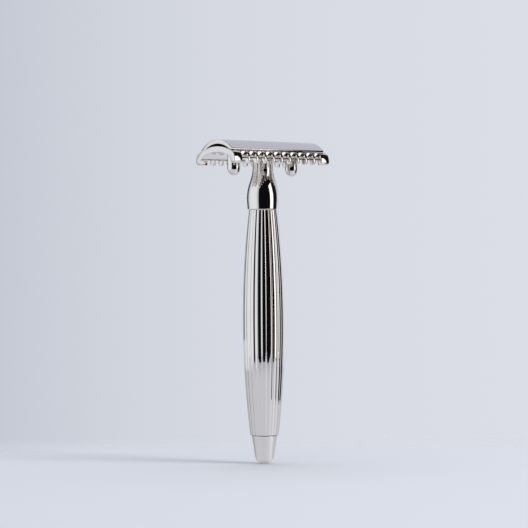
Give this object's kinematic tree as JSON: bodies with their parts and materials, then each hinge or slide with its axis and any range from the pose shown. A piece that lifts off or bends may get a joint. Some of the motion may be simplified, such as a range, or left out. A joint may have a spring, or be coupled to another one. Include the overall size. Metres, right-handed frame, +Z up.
{
  "type": "double-edge safety razor",
  "caption": "Open-comb safety razor: a curved cap with a threaded stud and guide pins sits on a comb plate at the top of a reeded barrel handle.",
  "frame": {"origin": "on the floor, under the middle of the handle, at the centre of its standing flat", "axes": "+Z up the handle's axis to the cap, X along the head's long side, -Y towards the front comb"},
  "size_m": [0.0426, 0.025, 0.119],
  "materials": {
    "polished_nickel": "mirror-polished nickel plate over brass",
    "turned_brass": "plain turned brass",
    "seam_washer_black": "matte black"
  },
  "bodies": {
    "handle": {"end_cap": "polished_nickel", "seam_washer": "seam_washer_black", "grip": "polished_nickel", "tie_rod": "turned_brass", "neck": "polished_nickel"},
    "plate": {"comb_plate": "polished_nickel"},
    "cap_assembly": {"cap": "polished_nickel", "cap_stud": "polished_nickel", "guide_pin_left": "polished_nickel", "guide_pin_right": "polished_nickel"}
  },
  "joints": [
    {"name": "head_turn", "type": "hinge", "parent": "handle", "child": "plate", "pos_m": [0, 0, 0.114], "axis": [0, 0, 1], "range_deg": [0, 2970]},
    {"name": "cap_lift", "type": "slide", "parent": "plate", "child": "cap_assembly", "axis": [0, 0, 1], "range_m": [0, 0.00661]}
  ],
  "couplings": [
    {"joint": "cap_lift", "follows": "head_turn", "m_per_rad": 0.00012732}
  ]
}
